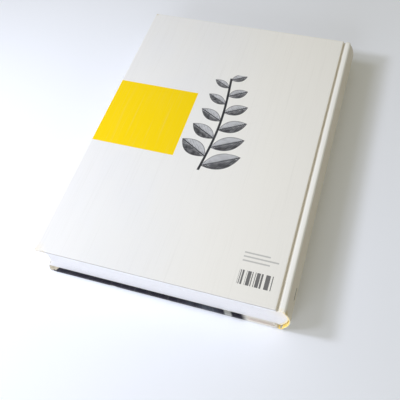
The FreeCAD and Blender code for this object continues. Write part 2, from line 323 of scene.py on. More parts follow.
class Bench:
    """Lays out and joins the nodes of one finish."""

    def __init__(self, name: str, source: Source) -> None:
        """Starts a material with one shader, and takes the measures of the place being coloured."""
        self.material = bpy.data.materials.new(name)
        self.material.use_nodes = True
        self.tree = self.material.node_tree
        self.tree.nodes.clear()
        self.shader = self.tree.nodes.new("ShaderNodeBsdfPrincipled")
        output = self.tree.nodes.new("ShaderNodeOutputMaterial")
        self.tree.links.new(self.shader.outputs["BSDF"], output.inputs["Surface"])
        self.place, self.across, self.along, self.up = self.measures(source)

    def put(self, socket: Socket, value: object) -> None:
        """Joins a socket to another one, or sets its plain value."""
        if isinstance(value, Socket):
            self.tree.links.new(value, socket)
        elif isinstance(value, tuple) and len(socket.default_value) == 4:
            socket.default_value = (*value, 1.0)
        else:
            socket.default_value = value

    def sum(self, kind: str, first: object, second: object = 0.0, clamp: bool = False) -> Socket:
        """One step of arithmetic.

        Args:
            kind: The Math node's operation.
            first: A socket or number.
            second: A socket or number.
            clamp: Whether the result is kept between 0 and 1.

        Returns:
            The result's socket.
        """
        node = self.tree.nodes.new("ShaderNodeMath")
        node.operation = kind
        node.use_clamp = clamp
        self.put(node.inputs[0], first)
        self.put(node.inputs[1], second)
        return node.outputs[0]

    def times(self, first: object, second: object) -> Socket:
        """The product of two values."""
        return self.sum("MULTIPLY", first, second)

    def plus(self, first: object, second: object) -> Socket:
        """Two values added."""
        return self.sum("ADD", first, second)

    def minus(self, first: object, second: object) -> Socket:
        """The first value less the second."""
        return self.sum("SUBTRACT", first, second)

    def off(self, value: object, line: float = 0.0) -> Socket:
        """How far a value lies from a line, on either side."""
        return self.sum("ABSOLUTE", self.minus(value, line) if line else value)

    def far(self, first: object, second: object) -> Socket:
        """The length of the slope of two measures."""
        return self.sum("SQRT", self.plus(self.times(first, first), self.times(second, second)))

    def rise(self, value: object, start: float, end: float) -> Socket:
        """A smooth step from 0 at start to 1 at end, or down where start is the larger."""
        node = self.tree.nodes.new("ShaderNodeMapRange")
        node.interpolation_type = "SMOOTHSTEP"
        self.put(node.inputs["Value"], value)
        low, high = min(start, end), max(start, end)
        node.inputs["From Min"].default_value = low
        node.inputs["From Max"].default_value = high
        node.inputs["To Min"].default_value = 0.0 if start < end else 1.0
        node.inputs["To Max"].default_value = 1.0 if start < end else 0.0
        return node.outputs["Result"]

    def span(self, value: object, low: float, high: float, soft: float) -> Socket:
        """1 between low and high, with sides as soft as given."""
        above = self.rise(value, low - soft / 2, low + soft / 2)
        below = self.rise(value, high + soft / 2, high - soft / 2)
        return self.times(above, below)

    def measures(self, source: Source) -> tuple[Socket, ...]:
        """The place that is being coloured.

        Args:
            source: The flat sheet or the solid itself.

        Returns:
            The place as one vector in mm, and its three numbers.
        """
        if source is Source.SHEET:
            node = self.tree.nodes.new("ShaderNodeUVMap")
            node.uv_map = "sheet"
            found = node.outputs["UV"]
        else:
            found = self.tree.nodes.new("ShaderNodeTexCoord").outputs["Object"]
        scale = self.tree.nodes.new("ShaderNodeVectorMath")
        scale.operation = "SCALE"
        self.put(scale.inputs[0], found)
        scale.inputs["Scale"].default_value = 1 / MM
        apart = self.tree.nodes.new("ShaderNodeSeparateXYZ")
        self.put(apart.inputs[0], scale.outputs[0])
        return scale.outputs[0], apart.outputs[0], apart.outputs[1], apart.outputs[2]

    def cloud(self, size: Point, detail: float = 2.0, shift: float = 0.0) -> Socket:
        """Uneven tone.

        Args:
            size: How large the patches are each way, in mm.
            detail: How many finer layers they have.
            shift: Moves the pattern, so that two clouds differ.

        Returns:
            A socket of values about a half.
        """
        stretch = self.tree.nodes.new("ShaderNodeMapping")
        self.put(stretch.inputs["Vector"], self.place)
        stretch.inputs["Scale"].default_value = tuple(1 / each for each in size)
        stretch.inputs["Location"].default_value = (shift, shift * 0.7, shift * 0.3)
        node = self.tree.nodes.new("ShaderNodeTexNoise")
        self.put(node.inputs["Vector"], stretch.outputs[0])
        node.inputs["Scale"].default_value = 1.0
        node.inputs["Detail"].default_value = detail
        return node.outputs["Fac"]

    def tint(self, amount: object, first: object, second: object) -> Socket:
        """The first colour, turning to the second by the amount."""
        node = self.tree.nodes.new("ShaderNodeMix")
        node.data_type = "RGBA"
        self.put(node.inputs[0], amount)
        self.put(node.inputs[6], first)
        self.put(node.inputs[7], second)
        return node.outputs[2]

    def shine(self, low: float, high: float, value: object) -> None:
        """Lets the surface's roughness run from low to high with a value."""
        node = self.tree.nodes.new("ShaderNodeMapRange")
        self.put(node.inputs["Value"], value)
        node.inputs["From Min"].default_value = 0.3
        node.inputs["From Max"].default_value = 0.7
        node.inputs["To Min"].default_value = low
        node.inputs["To Max"].default_value = high
        self.put(self.shader.inputs["Roughness"], node.outputs["Result"])

    def relief(self, height: object, depth: float) -> None:
        """Raises the surface by a value, as much as depth mm."""
        node = self.tree.nodes.new("ShaderNodeBump")
        node.inputs["Strength"].default_value = 1.0
        node.inputs["Distance"].default_value = depth * MM
        self.put(node.inputs["Height"], height)
        self.put(self.shader.inputs["Normal"], node.outputs["Normal"])

    def finished(self, colour: Socket, dull: tuple[float, float], wear: Socket, height: Socket,
                 depth: float) -> bpy.types.Material:
        """Joins a colour, a roughness and a relief to the shader.

        Args:
            colour: The surface's colour.
            dull: The roughness where the wear is low, and where it is high.
            wear: The value that the roughness follows.
            height: The value that raises the surface.
            depth: How far it is raised, in mm.

        Returns:
            The finished material.
        """
        self.put(self.shader.inputs["Base Color"], colour)
        self.shine(*dull, wear)
        self.relief(height, depth)
        return self.material


@dataclass(frozen=True)
class PrintedLaminate:
    """The covering: white printed paper under a satin film, worn and yellowed along its folds, with painted
    highlight and painted shade along its edges, ridges and joints.
    """

    paper: Colour = (0.886, 0.872, 0.838)
    cool_paper: Colour = (0.870, 0.861, 0.843)
    joint_cream_and_light: Colour = (0.950, 0.918, 0.838)
    ridge_painted_highlight: Colour = (0.985, 0.965, 0.900)
    edge_white: Colour = (0.87, 0.87, 0.90)
    edge_painted_shade: Colour = (0.52, 0.50, 0.47)
    groove: Colour = (0.74, 0.67, 0.52)
    shaded: Colour = (0.70, 0.63, 0.50)
    soil: Colour = (0.55, 0.53, 0.46)
    rubbed: Colour = (0.60, 0.58, 0.54)
    aged: Colour = (0.89, 0.83, 0.64)
    scuffed: Colour = (0.56, 0.44, 0.16)
    rim_worn: Colour = (0.84, 0.77, 0.58)
    tail_stain: Colour = (0.93, 0.78, 0.46)
    corner_cream: Colour = (0.90, 0.83, 0.68)
    corner_dull: Colour = (0.72, 0.62, 0.40)
    yellow: Colour = (1.0, 0.705, 0.003)
    fold_yellow: Colour = (1.0, 0.70, 0.13)
    pale_yellow: Colour = (0.98, 0.86, 0.46)
    black: Colour = (0.017, 0.015, 0.023)
    black_worn: Colour = (0.30, 0.27, 0.24)
    slate: Colour = (0.070, 0.080, 0.098)
    silver: Colour = (0.36, 0.36, 0.33)
    beige: Colour = (0.72, 0.69, 0.62)
    streak_brown: Colour = (0.42, 0.27, 0.20)
    bar_ink: Colour = (0.190, 0.186, 0.180)
    line_ink: Colour = (0.36, 0.36, 0.35)
    rule_ink: Colour = (0.09, 0.09, 0.07)
    block_end: tuple[float, float] = (79.4, 78.9)
    block_along: tuple[float, float] = (121.2, 199.6)
    bars_across: tuple[float, float] = (166.8, 194.2)
    bars_along: tuple[float, float] = (13.9, 26.6)
    bar_pitch: float = 0.72
    bar_group: float = 2.3
    lines_start: float = 166.6
    lines: tuple[tuple[float, float], ...] = ((42.2, 187.5), (38.6, 195.0), (34.9, 188.5))
    line_half: float = 0.65
    stripe_across: tuple[float, float] = (160.4, 166.2)
    mist_across: tuple[float, float] = (128.0, 159.0)
    rule_across: tuple[float, float] = (15.2, 16.4)
    rule_along: tuple[float, float] = (16.0, 26.8)
    beige_across: tuple[float, float] = (174.0, 180.5)
    gloss: float = 0.19
    black_gloss: float = 0.12
    coat: float = 0.03
    coat_rough: float = 0.24

    def material(self, field: Field) -> bpy.types.Material:
        """The finish of one printed part.

        Args:
            field: Which part of the covering it is.

        Returns:
            The finished material.
        """
        bench = Bench(f"printed_laminate_{field.value}", Source.SHEET)
        patches = bench.cloud((60.0, 90.0, 60.0), 3.0)
        colour = bench.tint(bench.rise(patches, 0.35, 0.65), self.paper, self.cool_paper)
        if field is Field.BACK:
            colour = self.back(bench, colour)
        elif field is Field.SPINE:
            colour = self.spine(bench, colour)
        elif field is Field.JOINT:
            colour = self.joint(bench, colour)
        else:
            colour = self.front(bench)
        streaks = bench.cloud((0.9, 70.0, 1.0), 2.0, 5.0)
        colour = self.film(bench, colour, streaks)
        bench.put(bench.shader.inputs["Base Color"], colour)
        black = field is Field.FRONT
        bench.shader.inputs["Specular IOR Level"].default_value = self.black_gloss if black else self.gloss
        bench.shader.inputs["Coat Weight"].default_value = 0.0 if black else self.coat
        bench.shader.inputs["Coat Roughness"].default_value = self.coat_rough
        return bench.material

    def film(self, bench: Bench, colour: Socket, streaks: Socket) -> Socket:
        """The film's fine streaks, dents and rubbed places.

        Args:
            bench: The finish being made.
            colour: The printed colour.
            streaks: Fine lines along the book.

        Returns:
            The colour with its soiling.
        """
        rubbed = bench.cloud((22.0, 30.0, 20.0), 5.0, 11.0)
        bench.shine(0.30, 0.46, rubbed)
        pores = bench.cloud((0.55, 0.55, 0.55), 3.0, 3.0)
        fine = bench.times(streaks, 0.7)
        waves = bench.cloud((16.0, 34.0, 16.0), 2.0, 7.0)
        height = bench.plus(bench.times(pores, 0.35), fine)
        height = bench.plus(height, bench.times(waves, 3.0))
        bench.relief(height, 0.035)
        dirty = bench.times(bench.rise(streaks, 0.50, 0.80), 0.10)
        return bench.tint(dirty, colour, self.soil)

    def fold_wear(self, bench: Bench, distance: Socket, width: float, colour: Socket,
                  worn: Colour) -> Socket:
        """Wears the print along a fold.

        Args:
            bench: The finish being made.
            distance: How far the place is from the fold, in mm.
            width: How wide the wear is, in mm.
            colour: The colour before wear.
            worn: The colour of the worn paper.

        Returns:
            The worn colour.
        """
        ragged = bench.cloud((3.5, 3.5, 3.5), 4.0, 2.0)
        reach = bench.times(bench.rise(ragged, 0.32, 0.72), width)
        near = bench.minus(reach, distance)
        return bench.tint(bench.rise(near, -0.2, 0.5), colour, worn)

    def back(self, bench: Bench, colour: Socket) -> Socket:
        """The back cover's print: a yellow field, a sprig in grey ink, and small bars and lines.

        Args:
            bench: The finish being made.
            colour: The bare paper.

        Returns:
            The printed colour.
        """
        across, along = bench.across, bench.along
        # Creamier and lighter towards the joint: partly aged yellowing, partly painted light that brightens
        # the side the lamps leave dimmer.
        joint_side = bench.rise(across, 40.0, 170.0)
        colour = bench.tint(bench.times(joint_side, 0.80), colour, self.joint_cream_and_light)
        block = bench.times(bench.rise(across, *self.block_end), bench.span(along, *self.block_along, 0.35))
        colour = bench.tint(block, colour, self.yellow)
        colour = Sprig().drawn(bench, colour)
        colour = self.bars(bench, colour)
        fore = bench.off(across)
        tail = bench.off(along)
        head = bench.off(along, HEIGHT)
        inward = bench.sum("MINIMUM", along, bench.minus(HEIGHT, along))
        # Painted shade: grey over the rounded tail and head edges and the sides below them.
        outside = bench.rise(inward, 0.45, 0.0)
        colour = bench.tint(outside, colour, self.edge_painted_shade)
        below = bench.rise(inward, -1.1, -1.7)
        colour = bench.tint(below, colour, self.edge_white)
        colour = self.fold_wear(bench, bench.sum("MINIMUM", tail, head), 0.18, colour, self.rubbed)
        colour = self.fold_wear(bench, fore, 0.55, colour, self.aged)
        # Browned paper with painted shade where the covering rolls down into the groove.
        browned_and_shaded = bench.times(bench.rise(across, BOARD_BACK - 1.1, BOARD_BACK - 0.3), 0.6)
        colour = bench.tint(browned_and_shaded, colour, self.groove)
        corner = bench.far(across, along)
        ragged = bench.cloud((2.2, 2.2, 2.2), 4.0, 9.0)
        bruise = bench.times(bench.rise(corner, 11.0, 1.0), bench.rise(ragged, 0.10, 0.55))
        colour = bench.tint(bench.times(bruise, 0.7), colour, self.corner_cream)
        top = bench.far(across, head)
        dull = bench.times(bench.rise(top, 4.5, 0.5), 0.7)
        return bench.tint(dull, colour, self.corner_dull)

    def joint(self, bench: Bench, colour: Socket) -> Socket:
        """The bare paper in the joint, browned and streaked, with painted shade for the groove."""
        browned_and_shaded = bench.cloud((0.8, 26.0, 1.0), 4.0, 13.0)
        return bench.tint(bench.plus(bench.times(browned_and_shaded, 0.5), 0.40), colour, self.groove)

    def bars(self, bench: Bench, colour: Socket) -> Socket:
        """Plain upright bars of mixed widths, and three plain lines above them.

        Args:
            bench: The finish being made.
            colour: The print so far.

        Returns:
            The colour with bars and lines.
        """
        across, along = bench.across, bench.along
        module = bench.sum("FLOOR", bench.sum("DIVIDE", across, self.bar_pitch))
        chance = bench.tree.nodes.new("ShaderNodeTexWhiteNoise")
        chance.noise_dimensions = "1D"
        bench.put(chance.inputs["W"], module)
        wide = bench.tree.nodes.new("ShaderNodeTexWhiteNoise")
        wide.noise_dimensions = "1D"
        bench.put(wide.inputs["W"], bench.sum("FLOOR", bench.sum("DIVIDE", across, self.bar_group)))
        share = bench.plus(0.10, bench.times(wide.outputs["Value"], 0.60))
        inked = bench.sum("GREATER_THAN", chance.outputs["Value"], share)
        tall = bench.span(along, *self.bars_along, 0.2)
        area = bench.times(bench.span(across, *self.bars_across, 0.1), tall)
        colour = bench.tint(bench.times(area, inked), colour, self.bar_ink)
        for level, end in self.lines:
            thick = bench.span(along, level - self.line_half, level + self.line_half, 0.5)
            line = bench.times(bench.span(across, self.lines_start, end, 0.6), thick)
            colour = bench.tint(bench.times(line, 0.62), colour, self.line_ink)
        return colour

    def spine(self, bench: Bench, colour: Socket) -> Socket:
        """The spine's print: white, with a yellow fold at the tail and a short dark rule; with a painted
        highlight on the ridge and painted shade on the spine beyond it.

        Args:
            bench: The finish being made.
            colour: The bare paper.

        Returns:
            The printed colour.
        """
        across, along = bench.across, bench.along
        mottled = bench.cloud((1.6, 1.6, 1.6), 4.0, 4.0)
        turned = bench.rise(along, -0.02, -0.40)
        warm = bench.tint(bench.rise(mottled, 0.42, 0.68), self.fold_yellow, self.pale_yellow)
        # Browned paper with painted shade at the foot of the ridge, in the groove.
        foot = bench.rise(across, 1.4, 0.2)
        colour = bench.tint(bench.times(foot, 0.5), colour, self.groove)
        # Painted highlight: the top of the ridge is lightened to near white.
        ridge_highlight_mask = bench.times(bench.rise(across, 0.5, 1.3), bench.rise(across, 6.4, 5.4))
        colour = bench.tint(bench.times(ridge_highlight_mask, 0.98), colour, self.ridge_painted_highlight)
        # Painted shade: the spine's side beyond the ridge is darkened and browned.
        shaded = bench.times(bench.rise(across, 5.4, 8.0), 0.75)
        colour = bench.tint(shaded, colour, self.shaded)
        tail = bench.times(bench.rise(along, 4.2, 0.4), bench.rise(mottled, 0.36, 0.60))
        colour = bench.tint(bench.times(tail, 0.45), colour, self.tail_stain)
        colour = bench.tint(turned, colour, warm)
        short = bench.span(along, *self.rule_along, 0.5)
        rule = bench.times(bench.span(across, *self.rule_across, 0.3), short)
        scuff = bench.times(bench.span(across, 7.0, 10.5, 1.6), bench.rise(along, 5.0, 1.0))
        colour = bench.tint(bench.times(scuff, 0.6), colour, self.scuffed)
        colour = bench.tint(rule, colour, self.rule_ink)
        rim = bench.off(along, 0.15)
        head = bench.off(along, HEIGHT)
        ends = bench.sum("MINIMUM", rim, head)
        return self.fold_wear(bench, ends, 0.7, colour, self.rim_worn)

    def front(self, bench: Bench) -> Socket:
        """The front cover's print: a black field with a soft pale stripe, fading to pale at the joint.

        Args:
            bench: The finish being made.

        Returns:
            The printed colour.
        """
        across, along = bench.across, bench.along
        mottled = bench.cloud((13.0, 30.0, 13.0), 3.0, 6.0)
        misty = bench.times(bench.span(across, *self.mist_across, 16.0), bench.rise(mottled, 0.28, 0.74))
        colour = bench.tint(misty, self.black, self.slate)
        stripe = bench.span(across, *self.stripe_across, 2.2)
        colour = bench.tint(bench.times(stripe, 0.92), colour, self.silver)
        colour = bench.tint(bench.rise(across, *self.beige_across), colour, self.beige)
        streak = bench.times(bench.span(along, -4.6, -2.3, 1.0), bench.rise(across, 178.0, 183.0))
        colour = bench.tint(bench.times(streak, 0.40), colour, self.streak_brown)
        tail = bench.off(along)
        head = bench.off(along, HEIGHT)
        fore = bench.off(across)
        nearest = bench.sum("MINIMUM", fore, bench.sum("MINIMUM", tail, head))
        return self.fold_wear(bench, nearest, 0.34, colour, self.black_worn)


@dataclass(frozen=True)
class Sprig:
    """A plain printed sprig with hatched leaves on both sides of a bent stem."""

    middle: float = 108.0
    foot: float = 113.0
    height: float = 119.0
    pitch: float = 21.5
    leaf_long: float = 33.0
    leaf_wide: float = 8.4
    lean: float = 29.0
    hatch: float = 1.9
    dark: Colour = (0.035, 0.035, 0.040)
    light: Colour = (0.60, 0.60, 0.61)

    def drawn(self, bench: Bench, colour: Socket) -> Socket:
        """Prints the sprig over a colour.

        Args:
            bench: The finish being made.
            colour: The print so far.

        Returns:
            The colour with the sprig.
        """
        up = bench.minus(bench.along, self.foot)
        bend = bench.times(bench.sum("SINE", bench.times(up, 0.030)), 4.0)
        out = bench.minus(bench.minus(bench.across, self.middle - 2.0), bend)
        left = bench.sum("LESS_THAN", out, 0.0)
        shifted = bench.plus(up, bench.times(left, self.pitch / 2))
        number = bench.sum("FLOOR", bench.sum("DIVIDE", shifted, self.pitch))
        within = bench.minus(shifted, bench.times(number, self.pitch))
        reach = bench.off(out)
        raised = bench.minus(within, 3.2)
        size = bench.minus(1.06, bench.times(number, 0.105))
        lean = math.radians(self.lean)
        forth = bench.plus(bench.times(reach, math.cos(lean)), bench.times(raised, math.sin(lean)))
        aside = bench.minus(bench.times(raised, math.cos(lean)), bench.times(reach, math.sin(lean)))
        share = bench.sum("DIVIDE", forth, bench.times(size, self.leaf_long), clamp=True)
        bulge = bench.times(bench.times(share, bench.minus(1.0, share)), 4.0)
        half = bench.times(bench.times(bulge, size), self.leaf_wide)
        depth = bench.minus(half, bench.off(aside))
        leaf = bench.rise(depth, -0.1, 0.3)
        vein = bench.plus(forth, bench.times(bench.off(aside), -0.8))
        wave = bench.sum("SINE", bench.times(vein, math.tau / self.hatch))
        shade = bench.times(bench.rise(aside, 3.5, -3.5), 1.1)
        rough = bench.cloud((2.6, 2.6, 2.6), 3.0, 8.0)
        tone = bench.plus(bench.times(wave, 0.42), shade)
        tone = bench.plus(tone, bench.minus(bench.times(rough, 1.6), 0.88))
        rim = bench.rise(depth, 0.9, 0.3)
        midrib = bench.rise(bench.off(aside), 0.7, 0.3)
        tone = bench.sum("MAXIMUM", bench.sum("MAXIMUM", tone, rim), midrib, clamp=True)
        ends = bench.span(up, 0.0, self.height, 0.6)
        grown = bench.sum("GREATER_THAN", shifted, bench.times(left, self.pitch))
        inside = bench.times(bench.times(leaf, ends), grown)
        colour = bench.tint(inside, colour, bench.tint(tone, self.light, self.dark))
        stem = bench.times(bench.rise(reach, 1.25, 0.95), bench.span(up, -2.0, self.height - 6.0, 0.6))
        return bench.tint(stem, colour, self.dark)


@dataclass(frozen=True)
class LeafEdges:
    """Smooth white leaves, seen as fine layers at the edges of the block."""

    white: Colour = (0.825, 0.815, 0.824)
    cream: Colour = (0.92, 0.84, 0.71)
    shade: Colour = (0.70, 0.69, 0.72)
    dust: Colour = (0.70, 0.69, 0.70)

    def material(self) -> bpy.types.Material:
        """The finished material."""
        bench = Bench("leaf_edges", Source.SOLID)
        across, up = bench.across, bench.up
        fine = bench.cloud((40.0, 40.0, 0.16), 2.0)
        groups = bench.cloud((90.0, 60.0, 1.3), 2.0, 4.0)
        soft = bench.cloud((22.0, 30.0, 9.0), 3.0, 9.0)
        colour = bench.tint(bench.times(bench.rise(fine, 0.45, 0.75), 0.30), self.white, self.shade)
        colour = bench.tint(bench.times(bench.rise(groups, 0.50, 0.78), 0.22), colour, self.shade)
        colour = bench.tint(bench.times(bench.rise(soft, 0.48, 0.75), 0.12), colour, self.dust)
        toned = bench.times(bench.rise(across, 84.0, 103.0), bench.rise(up, 9.0, 30.0))
        colour = bench.tint(bench.times(toned, 0.75), colour, self.cream)
        return bench.finished(colour, (0.55, 0.75), groups, fine, 0.05)


@dataclass(frozen=True)
class Endpaper:
    """Plain white uncoated endpaper with a faint felt side."""

    white: Colour = (0.86, 0.85, 0.81)
    grey: Colour = (0.76, 0.75, 0.70)

    def material(self, source: Source) -> bpy.types.Material:
        """The finish, measured on the sheet or on the solid."""
        bench = Bench(f"endpaper_{source.value}", source)
        felt = bench.cloud((0.9, 1.4, 0.9), 4.0)
        tone = bench.cloud((35.0, 50.0, 35.0), 3.0, 6.0)
        colour = bench.tint(bench.times(bench.rise(tone, 0.42, 0.72), 0.45), self.white, self.grey)
        colour = bench.tint(bench.times(bench.rise(felt, 0.50, 0.80), 0.18), colour, self.grey)
        return bench.finished(colour, (0.62, 0.86), felt, felt, 0.03)


@dataclass(frozen=True)
class GreyBoard:
    """Raw tan-grey board, pressed in layers, with fibres and flecks where it is bare."""

    tan: Colour = (0.36, 0.31, 0.22)
    pale: Colour = (0.60, 0.54, 0.42)
    fleck: Colour = (0.22, 0.19, 0.15)

    def material(self, name: str) -> bpy.types.Material:
        """The finish under this name."""
        bench = Bench(name, Source.SOLID)
        fibres = bench.cloud((2.4, 0.35, 0.35), 4.0)
        layers = bench.cloud((6.0, 6.0, 0.28), 3.0, 3.0)
        flecks = bench.cloud((0.8, 0.8, 0.5), 2.0, 8.0)
        colour = bench.tint(bench.rise(layers, 0.38, 0.66), self.tan, self.pale)
        colour = bench.tint(bench.times(bench.rise(fibres, 0.52, 0.74), 0.5), colour, self.pale)
        colour = bench.tint(bench.times(bench.rise(flecks, 0.66, 0.76), 0.7), colour, self.fleck)
        return bench.finished(colour, (0.80, 0.95), fibres, bench.plus(fibres, layers), 0.12)


@dataclass(frozen=True)
class LiningCloth:
    """Open-weave cloth, stiff with glue."""

    thread: Colour = (0.80, 0.77, 0.68)
    glue: Colour = (0.62, 0.56, 0.43)
    pitch: float = 1.1

    def material(self) -> bpy.types.Material:
        """The finished material."""
        bench = Bench("lining_cloth", Source.SOLID)
        across, along, up = bench.across, bench.along, bench.up
        round_way = bench.plus(across, up)
        turn = math.tau / self.pitch
        warp = bench.off(bench.sum("SINE", bench.times(round_way, turn / 2)))
        weft = bench.off(bench.sum("SINE", bench.times(along, turn / 2)))
        weave = bench.sum("MAXIMUM", warp, weft)
        stain = bench.cloud((9.0, 14.0, 9.0), 4.0)
        colour = bench.tint(bench.rise(weave, 0.93, 0.70), self.thread, self.glue)
        colour = bench.tint(bench.times(bench.rise(stain, 0.45, 0.75), 0.5), colour, self.glue)
        return bench.finished(colour, (0.60, 0.90), stain, weave, 0.10)


@dataclass(frozen=True)
class SewnThread:
    """Silky cream and yellow thread, wound side by side over the band's core."""

    cream: Colour = (0.86, 0.82, 0.70)
    yellow: Colour = (0.88, 0.66, 0.20)
    shaded: Colour = (0.62, 0.55, 0.40)
    sheen: float = 0.3
    pitch: float = THREAD_PITCH

    def material(self) -> bpy.types.Material:
        """The finished material."""
        bench = Bench("band_thread", Source.SHEET)
        across = bench.across
        turns = bench.sum("FLOOR", bench.sum("DIVIDE", across, self.pitch * 2))
        halves = bench.minus(across, bench.times(turns, self.pitch * 2))
        stripe = bench.sum("GREATER_THAN", halves, self.pitch)
        strands = bench.cloud((0.16, 3.0, 0.5), 2.0)
        colour = bench.tint(bench.times(stripe, 0.55), self.cream, self.yellow)
        colour = bench.tint(bench.times(bench.rise(strands, 0.45, 0.75), 0.4), colour, self.shaded)
        bench.shader.inputs["Sheen Weight"].default_value = self.sheen
        return bench.finished(colour, (0.38, 0.62), strands, strands, 0.04)


@dataclass
class Wrap:
    """The outside of a flat slab: a face, four rounded sides, and a border or a whole face underneath."""

    left: float
    right: float
    tail: float
    head: float
    thick: float
    edge: float
    corner: float
    growth: float = 1.15
    fine: float = 0.25
    coarse: float = 4.0
    layers: int = 4
    border: tuple[float, ...] = (1.2, 2.0, 3.0, 5.0, 9.0, 15.0)
    whole: bool = False

    def rings(self) -> list[tuple[float, float]]:
        """How far in and how deep each ring round the slab lies, from the face to the underside."""
        quarter = [math.radians(angle) for angle in (22.5, 45.0, 67.5, 90.0)]
        found = [(self.edge * (1 - math.sin(turn)), self.edge * (1 - math.cos(turn))) for turn in quarter]
        straight = self.thick - 2 * self.edge
        found += [(0.0, self.edge + straight * layer / self.layers) for layer in range(1, self.layers + 1)]
        for turn in quarter:
            found.append((self.edge * (1 - math.cos(turn)), self.thick - self.edge * (1 - math.sin(turn))))
        return found + [(inset, self.thick) for inset in self.border if inset > self.edge]

    def rounded(self, across: float, along: float, inset: float) -> tuple[float, float]:
        """Brings a place near a corner of a ring on to the corner's curve.

        Args:
            across: The measure across.
            along: The measure along.
            inset: How far the ring lies inside the slab's outline.

        Returns:
            The place on the rounded ring.
        """
        radius = max(self.corner - inset, 0.0)
        middle = Vector((
            min(max(across, self.left + inset + radius), self.right - inset - radius),
            min(max(along, self.tail + inset + radius), self.head - inset - radius),
        ))
        out = Vector((across, along)) - middle
        if radius == 0.0 or abs(out.x) < 1e-9 or abs(out.y) < 1e-9:
            return across, along
        out *= max(abs(out.x), abs(out.y)) / out.length
        return middle.x + out.x, middle.y + out.y

    def lay(self, shape: Shape) -> Patch:
        """Lays the slab's outside.

        Args:
            shape: Takes a place's measures across and along and its depth, and gives where it ends up.

        Returns:
            The patch of points and faces.
        """
        patch = Patch()
        lines_u = steps(self.right - self.left - 2 * self.edge, self.fine, self.growth, self.coarse)
        lines_v = steps(self.head - self.tail - 2 * self.edge, self.fine, self.growth, self.coarse)
        last_u, last_v = len(lines_u) - 1, len(lines_v) - 1
        rows = []
        for along in lines_v:
            row = []
            for across in lines_u:
                inner = (self.left + self.edge + across, self.tail + self.edge + along)
                flat = self.rounded(*inner, self.edge)
                row.append(patch.point(shape(flat[0], flat[1], 0.0), flat))
            rows.append(row)
        patch.web(rows)
        rim = [(index, 0) for index in range(last_u)]
        rim += [(last_u, index) for index in range(last_v)]
        rim += [(index, last_v) for index in range(last_u, 0, -1)]
        rim += [(0, index) for index in range(last_v, 0, -1)]
        before = [rows[j][i] for i, j in rim]
        travelled = 0.0
        was = (self.edge, 0.0)
        for inset, depth in self.rings():
            travelled += math.hypot(inset - was[0], depth - was[1])
            was = (inset, depth)
            ring = []
            for i, j in rim:
                across = self.moved(lines_u[i], lines_u[-1], self.left, self.right, inset)
                along = self.moved(lines_v[j], lines_v[-1], self.tail, self.head, inset)
                flat = self.rounded(across, along, inset)
                beyond_u = travelled * ((i == last_u) - (i == 0))
                beyond_v = travelled * ((j == last_v) - (j == 0))
                sheet_u = self.left + self.edge + lines_u[i] + beyond_u
                sheet_v = self.tail + self.edge + lines_v[j] + beyond_v
                ring.append(patch.point(shape(flat[0], flat[1], depth), (sheet_u, sheet_v)))
            patch.strip(ring, before, closed=True)
            before = ring
        if self.whole:
            patch.faces.append(tuple(before))
        return patch

    def moved(self, line: float, length: float, low: float, high: float, inset: float) -> float:
        """Where a grid line of the face meets a ring that lies further in or out."""
        return low + inset + line * (high - low - 2 * inset) / length


